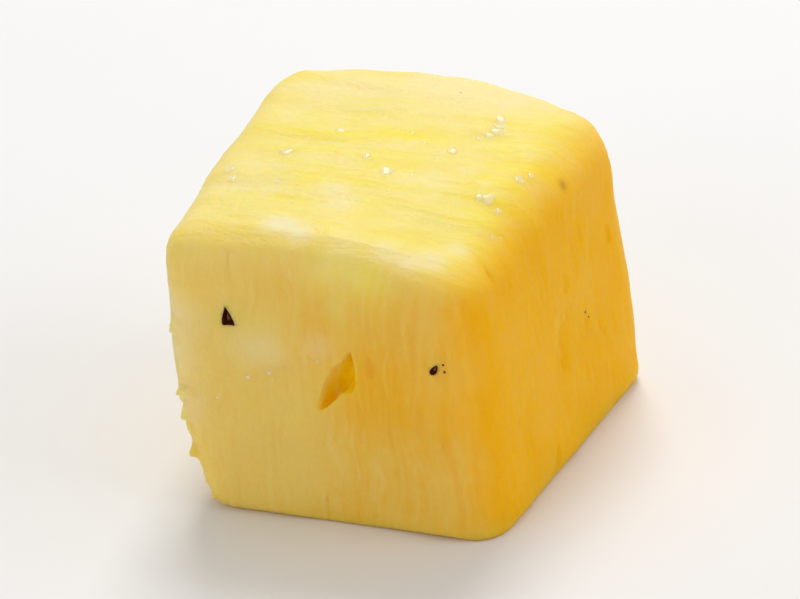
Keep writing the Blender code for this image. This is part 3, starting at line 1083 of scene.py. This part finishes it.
def flesh_bump(tree, place, bands):
    """Fine fibres, and the grain of juicy flesh between them."""
    upwards = scale_vector(tree, place, (1 / FINE_WIDTH, 1 / FINE_WIDTH, 1 / FINE_LENGTH))
    across = scale_vector(tree, bands, (1 / FINE_LENGTH, 1 / FINE_WIDTH, 0.0))
    wall_fibres = noise_value(tree, upwards, detail=3.0, roughness=0.6)
    top_fibres = noise_value(tree, across, detail=3.0, roughness=0.6)
    both = {0: attribute(tree, "peeled"), 2: wall_fibres, 3: top_fibres}
    fibres = add_node(tree, "Mix", both).outputs[0]
    sacs = noise_value(tree, scale_vector(tree, place, (1 / SAC_SIZE,) * 3), detail=2.0)
    inputs = {"Height": fibres, "Strength": 1.0, "Distance": FINE_HEIGHT}
    fibrous = add_node(tree, "Bump", inputs).outputs[0]
    inputs = {"Height": sacs, "Strength": 1.0, "Distance": SAC_HEIGHT, "Normal": fibrous}
    return add_node(tree, "Bump", inputs).outputs[0], sacs


def flesh_material(colours):
    material, tree, shader = new_material(
        "pineapple_flesh",
        IOR=1.35,
        Specular_IOR_Level=0.05,
        Subsurface_Weight=0.6,
        Subsurface_Radius=(1.0, 0.6, 0.15),
        Subsurface_Scale=4.0 * MM,
        Coat_Weight=0.15,
        Coat_Roughness=0.1,
        Coat_IOR=1.34,
    )
    place = wavy(tree, add_node(tree, "TexCoord").outputs["Object"])
    bands = band_coordinates(tree, place)
    tree.links.new(flesh_colour(tree, colours, place, bands), shader.inputs["Base Color"])
    normal, sacs = flesh_bump(tree, place, bands)
    tree.links.new(normal, shader.inputs["Normal"])
    tree.links.new(normal, shader.inputs["Coat Normal"])
    tree.links.new(span(tree, sacs, *SAC_ROUGHNESS), shader.inputs["Roughness"])
    return material


def seed_material(colours, name):
    material, tree, shader = new_material(name, Roughness=0.4, Coat_Weight=0.2)
    place = add_node(tree, "TexCoord").outputs["Object"]
    mottle = noise_value(tree, scale_vector(tree, place, (1 / SEED_MOTTLE,) * 3), detail=2.0)
    share = span(tree, mottle, *SEED_MOTTLE_SPAN)
    colour = mix_colours(tree, share, colours.seed, colours.seed_light)
    tree.links.new(colour, shader.inputs["Base Color"])
    return material


def juice_material(colours):
    # Cream and partly opaque, so that each bead of juice also carries a painted highlight besides
    # the glints of its coat
    material, _, _ = new_material(
        "juice", Base_Color=colours.juice, Roughness=0.05, IOR=1.34, Alpha=0.4, Coat_Weight=1.0
    )
    return material


def floor_material(colours):
    material, tree, shader = new_material("pale_floor", Roughness=0.6)
    place = add_node(tree, "TexCoord").outputs["Object"]
    mottle = noise_value(tree, scale_vector(tree, place, (FLOOR_MOTTLE,) * 3))
    shade = [channel * FLOOR_SHADE for channel in colours.floor[:3]] + [1.0]
    tree.links.new(mix_colours(tree, mottle, shade, colours.floor), shader.inputs["Base Color"])
    return material


# ---- The stage ----


def direction_from(azimuth, elevation):
    """Towards the chunk's viewer or light: azimuth 0 looks along +Y, with +X to the right."""
    a, e = math.radians(azimuth), math.radians(elevation)
    return Vector((math.sin(a) * math.cos(e), -math.cos(a) * math.cos(e), math.sin(e)))


def add_light(light, watts):
    """A soft square light that faces the chunk."""
    back = direction_from(light.azimuth, light.elevation)
    bpy.ops.object.light_add(
        type="AREA",
        location=VIEW_TARGET + back * light.distance,
        rotation=back.to_track_quat("Z", "Y").to_euler(),
    )
    lamp = bpy.context.object
    lamp.name = light.name
    lamp.data.shape = "SQUARE"
    lamp.data.size = light.size
    lamp.data.energy = watts
    lamp.data.color = light.colour


def make_floor():
    bpy.ops.mesh.primitive_circle_add(
        vertices=FLOOR_SIDES, radius=FLOOR_RADIUS, fill_type="NGON"
    )
    floor = bpy.context.object
    floor.location.z = CHUNK_LOW.z - FLOOR_GAP
    bpy.ops.object.transform_apply(location=True)
    return floor


def make_world(settings):
    world = bpy.data.worlds.new("studio")
    world.use_nodes = True
    background = world.node_tree.nodes["Background"]
    background.inputs["Color"].default_value = settings.sky
    background.inputs["Strength"].default_value = settings.sky_strength
    bpy.context.scene.world = world


def make_camera():
    """The photograph's view: from above the front right, with the picture turned a little."""
    back = direction_from(VIEW_AZIMUTH, VIEW_ELEVATION)
    roll = Matrix.Rotation(-math.radians(VIEW_ROLL), 3, "Z")
    turn = back.to_track_quat("Z", "Y").to_matrix() @ roll
    place = VIEW_TARGET + back * VIEW_DISTANCE
    bpy.ops.object.camera_add(location=place, rotation=turn.to_euler())
    camera = bpy.context.object
    camera.data.sensor_width = SENSOR_WIDTH
    camera.data.lens = SENSOR_WIDTH / 2 / math.tan(math.radians(VIEW_ANGLE) / 2)
    camera.data.clip_start = CLIP_START
    bpy.context.scene.camera = camera


# ---- The add-on ----


def swatch(name, description, red, green, blue):
    """A colour that can be picked in the sidebar."""
    return FloatVectorProperty(
        name=name,
        description=description,
        default=(red, green, blue, 1.0),
        subtype="COLOR",
        size=4,
    )


class ChunkSettings(bpy.types.PropertyGroup):
    """Sizes and numbers of the chunk's pieces."""

    voxel: FloatProperty(
        name="Flesh detail",
        description="Size of the faces that the flesh is modelled in",
        default=0.25 * MM,
        unit="LENGTH",
    )
    loose_tears: IntProperty(
        name="Torn ends",
        description="How many further torn ends stand out low on the left and at the back",
        default=16,
    )
    fine_beads: IntProperty(
        name="Fine beads",
        description="How many small beads of juice are scattered over the chunk",
        default=10,
    )


class ChunkColours(bpy.types.PropertyGroup):
    """Colours of the chunk's flesh, seeds and juice, and of the floor."""

    peel_side: swatch("Peeled side", "Lemon yellow of the peeled side", 0.93, 0.76, 0.255)
    streak: swatch(
        "Streaks", "Stronger yellow of the streaks across the peeled side", 0.94, 0.76, 0.1
    )
    wall: swatch("Walls", "Yellow of the flesh on the cut walls", 0.89, 0.645, 0.155)
    # Deep gold is the flesh's own tone, and on the right wall painted shade and golden bounce
    # light
    gold: swatch("Deep gold", "Gold of the ripest flesh", 0.94, 0.455, 0.0)
    # Also the colour of the painted highlights and of the painted light at the left edge
    pale: swatch("Pale patches", "Cream of the pale patches", 0.92, 0.81, 0.49)
    # Painted shade deep in the splits
    split: swatch("Splits", "Dull gold deep in the splits", 0.97, 0.57, 0.0)
    strand: swatch("Strands", "Pale yellow of the strands of fibre", 0.95, 0.8, 0.36)
    seed: swatch("Seeds", "Dark brown of the seeds and of their holes", 0.09, 0.012, 0.002)
    seed_light: swatch("Seed mottling", "Lighter brown that mottles the seeds", 0.19, 0.05, 0.01)
    # The juice is painted a pale cream, partly a painted highlight
    juice: swatch("Juice", "Faint yellow of the clear juice", 1.0, 0.97, 0.78)
    floor: swatch("Floor", "Pale colour of the floor", 0.86, 0.855, 0.85)


class StudioSettings(bpy.types.PropertyGroup):
    """Strength and colour of the studio light."""

    key_power: FloatProperty(
        name="Key light",
        description="Power of the soft light from behind and above",
        default=1.3,
        unit="POWER",
    )
    side_power: FloatProperty(
        name="Side light",
        description="Power of the soft light from the right",
        default=0.8,
        unit="POWER",
    )
    fill_power: FloatProperty(
        name="Fill light",
        description="Power of the weak light from the front left",
        default=0.5,
        unit="POWER",
    )
    sky: swatch("Surround", "Colour of the light from all round", 1.0, 1.0, 1.0)
    sky_strength: FloatProperty(
        name="Surround strength", description="Strength of the light from all round", default=0.5
    )


class PINEAPPLE_OT_flesh(bpy.types.Operator):
    """Cuts, wears and hollows out the flesh of the chunk"""

    bl_idname = "pineapple.flesh"
    bl_label = "Flesh"

    def execute(self, context):
        bpy.ops.object.select_all(action="DESELECT")
        colours = context.scene.pineapple_colours
        materials = (flesh_material(colours), seed_material(colours, "seed_hole"))
        flesh = make_flesh(context.scene.pineapple_chunk, materials)
        dress(flesh, "flesh")
        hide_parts("pineapple_chunk")
        return {"FINISHED"}


class PINEAPPLE_OT_seeds(bpy.types.Operator):
    """Lays a brown seed in each seed hole, and tiny ones in the surface"""

    bl_idname = "pineapple.seeds"
    bl_label = "Seeds"

    def execute(self, context):
        seeds = make_seeds(bpy.data.objects["flesh"])
        dress(seeds, "seeds", seed_material(context.scene.pineapple_colours, "seed_coat"))
        return {"FINISHED"}


class PINEAPPLE_OT_juice(bpy.types.Operator):
    """Sets beads of juice on the flesh"""

    bl_idname = "pineapple.juice"
    bl_label = "Beads of juice"

    def execute(self, context):
        beads = make_beads(bpy.data.objects["flesh"], context.scene.pineapple_chunk)
        dress(beads, "juice_beads", juice_material(context.scene.pineapple_colours))
        return {"FINISHED"}


class PINEAPPLE_OT_stage(bpy.types.Operator):
    """Adds the pale floor, the soft studio light and the camera"""

    bl_idname = "pineapple.stage"
    bl_label = "Stage"

    def execute(self, context):
        settings = context.scene.pineapple_studio
        floor = make_floor()
        floor.name = "floor"
        floor.data.materials.append(floor_material(context.scene.pineapple_colours))
        for light in LIGHTS:
            add_light(light, getattr(settings, light.power))
        make_world(settings)
        make_camera()
        context.scene.view_settings.view_transform = "Standard"
        return {"FINISHED"}


OPERATORS = (
    PINEAPPLE_OT_flesh,
    PINEAPPLE_OT_seeds,
    PINEAPPLE_OT_juice,
    PINEAPPLE_OT_stage,
)


class PINEAPPLE_PT_panel(bpy.types.Panel):
    """Lists the pieces of the chunk in the order in which they are built"""

    bl_idname = "PINEAPPLE_PT_panel"
    bl_label = "Pineapple Chunk"
    bl_space_type = "VIEW_3D"
    bl_region_type = "UI"
    bl_category = "Pineapple"

    def draw(self, context):
        for settings in SETTINGS:
            group = getattr(context.scene, settings)
            for name in group.__annotations__:
                self.layout.prop(group, name)
        for operator in OPERATORS:
            self.layout.operator(operator.bl_idname)


SETTINGS = {
    "pineapple_chunk": ChunkSettings,
    "pineapple_colours": ChunkColours,
    "pineapple_studio": StudioSettings,
}


def register():
    for name, group in SETTINGS.items():
        bpy.utils.register_class(group)
        setattr(bpy.types.Scene, name, PointerProperty(type=group))
    for operator in OPERATORS:
        bpy.utils.register_class(operator)
    bpy.utils.register_class(PINEAPPLE_PT_panel)


def unregister():
    bpy.utils.unregister_class(PINEAPPLE_PT_panel)
    for operator in reversed(OPERATORS):
        bpy.utils.unregister_class(operator)
    for name, group in SETTINGS.items():
        delattr(bpy.types.Scene, name)
        bpy.utils.unregister_class(group)


def main():
    register()
    bpy.ops.pineapple.flesh()
    bpy.ops.pineapple.seeds()
    bpy.ops.pineapple.juice()
    bpy.ops.pineapple.stage()


if __name__ == "__main__":
    main()
